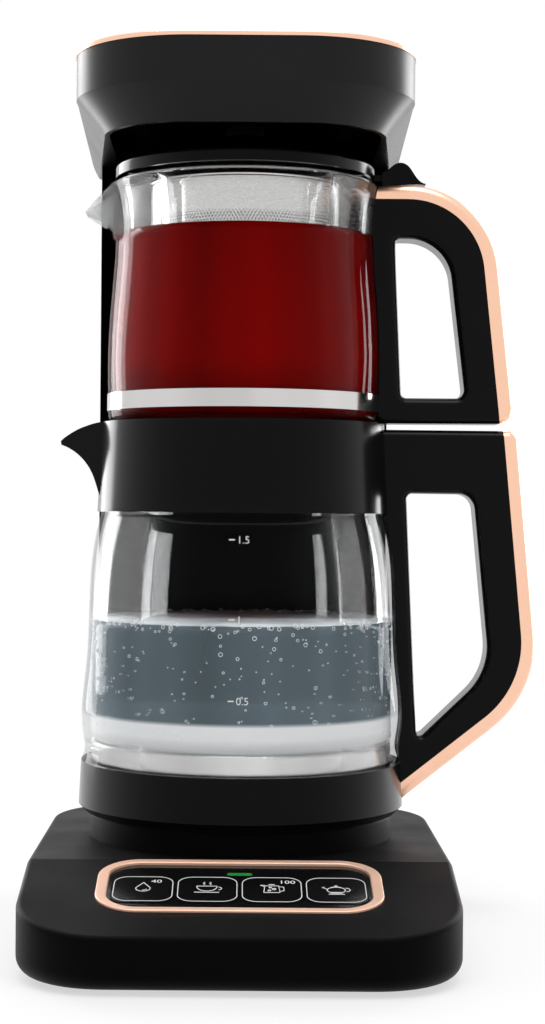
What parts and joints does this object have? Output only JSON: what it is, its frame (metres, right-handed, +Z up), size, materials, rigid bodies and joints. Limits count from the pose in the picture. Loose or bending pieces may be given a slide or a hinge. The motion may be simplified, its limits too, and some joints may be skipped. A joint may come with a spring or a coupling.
{
  "type": "automatic tea maker",
  "caption": "Automatic tea maker: a glass kettle on a powered stand, a glass teapot with a steel infuser on top, and a column with a spray head above the lid.",
  "frame": {"origin": "on the axis shared by the two pots, at the height of the table", "axes": "+Z up, -Y to the front where the keys are, +X to the side of both handles"},
  "size_m": [0.2259, 0.2595, 0.391],
  "materials": {
    "black_satin": "satin",
    "black_gloss": "gloss",
    "kettle_glass": "gloss",
    "pot_glass": "gloss",
    "rose_gold": "polished",
    "brushed_steel": "satin",
    "polished_steel": "polished",
    "panel_black": "gloss",
    "lens_green": "gloss",
    "rubber_black": "matte",
    "rubber_grey": "matte",
    "board_green": "satin",
    "contact_brass": "polished",
    "inner_grey": "matte"
  },
  "bodies": {
    "stand": {"base_housing": "black_satin", "base_bottom_plate": "inner_grey", "base_feet": "rubber_black", "bottom_screws": "polished_steel", "seat_plate": "black_satin", "connector_post": "black_satin", "connector_contacts": "contact_brass", "water_inlet": "inner_grey", "inlet_gasket": "rubber_grey", "panel_bezel": "rose_gold", "panel_fascia": "panel_black", "indicator_lens": "lens_green", "panel_board": "board_green", "tact_switches": "inner_grey", "power_board": "board_green", "water_pump": "inner_grey", "pump_hoses": "rubber_grey", "cord_gland": "rubber_black", "column_front_cover": "black_satin", "column_rear_cover": "black_satin", "column_screws": "polished_steel", "riser_tube": "rubber_grey", "head_housing": "black_satin", "head_top_cover": "black_satin", "head_trim": "rose_gold", "head_underside_plate": "black_satin", "shower_nozzle": "black_satin", "underside_screws": "black_satin"},
    "kettle": {"kettle_glass": "kettle_glass", "kettle_collar": "black_gloss", "kettle_rim_ring": "black_gloss", "kettle_seals": "rubber_grey", "kettle_base_ring": "black_gloss", "kettle_bottom_cover": "black_satin", "heating_plate": "brushed_steel", "heating_element": "polished_steel", "thermostat": "inner_grey", "connector_socket": "black_satin", "valve_body": "brushed_steel", "valve_spring": "polished_steel", "kettle_handle": "black_satin", "kettle_handle_trim": "rose_gold", "kettle_handle_screws": "polished_steel"},
    "valve": {"valve_plunger": "polished_steel"},
    "teapot": {"teapot_glass": "pot_glass", "teapot_band": "polished_steel", "teapot_handle": "black_satin", "teapot_handle_trim": "rose_gold", "teapot_handle_screw": "polished_steel", "hinge_bracket": "black_satin", "lid_hinge_pin": "black_satin", "infuser_basket": "brushed_steel"},
    "lid": {"lid_disc": "black_gloss", "lid_grommet": "rubber_black", "lid_thumb_lever": "black_gloss"},
    "warm_water_key_body": {"warm_water_key": "panel_black"},
    "coffee_key_body": {"coffee_key": "panel_black"},
    "boil_key_body": {"boil_key": "panel_black"},
    "tea_key_body": {"tea_key": "panel_black"}
  },
  "joints": [
    {"name": "kettle_lift", "type": "slide", "parent": "stand", "child": "kettle", "axis": [0, 0, 1], "range_m": [0, 0.006]},
    {"name": "valve_close", "type": "slide", "parent": "kettle", "child": "valve", "axis": [0, 0, 1], "range_m": [-0.00245, 0]},
    {"name": "teapot_pull_out", "type": "slide", "parent": "kettle", "child": "teapot", "axis": [0, -1, 0], "range_m": [0, 0.25]},
    {"name": "lid_hinge", "type": "hinge", "parent": "teapot", "child": "lid", "pos_m": [0.066, 0, 0.3444], "axis": [0, 1, 0], "range_deg": [0, 2.8]},
    {"name": "warm_water_press", "type": "slide", "parent": "stand", "child": "warm_water_key_body", "axis": [0, 0.2079, -0.9781], "range_m": [0, 0.0008], "stiffness_N_per_m": 400, "springref_m": -0.0004},
    {"name": "coffee_press", "type": "slide", "parent": "stand", "child": "coffee_key_body", "axis": [0, 0.2079, -0.9781], "range_m": [0, 0.0008], "stiffness_N_per_m": 400, "springref_m": -0.0004},
    {"name": "boil_press", "type": "slide", "parent": "stand", "child": "boil_key_body", "axis": [0, 0.2079, -0.9781], "range_m": [0, 0.0008], "stiffness_N_per_m": 400, "springref_m": -0.0004},
    {"name": "tea_press", "type": "slide", "parent": "stand", "child": "tea_key_body", "axis": [0, 0.2079, -0.9781], "range_m": [0, 0.0008], "stiffness_N_per_m": 400, "springref_m": -0.0004}
  ],
  "couplings": [
    {"joint": "valve_close", "follows": "kettle_lift", "ratio": -0.4}
  ]
}
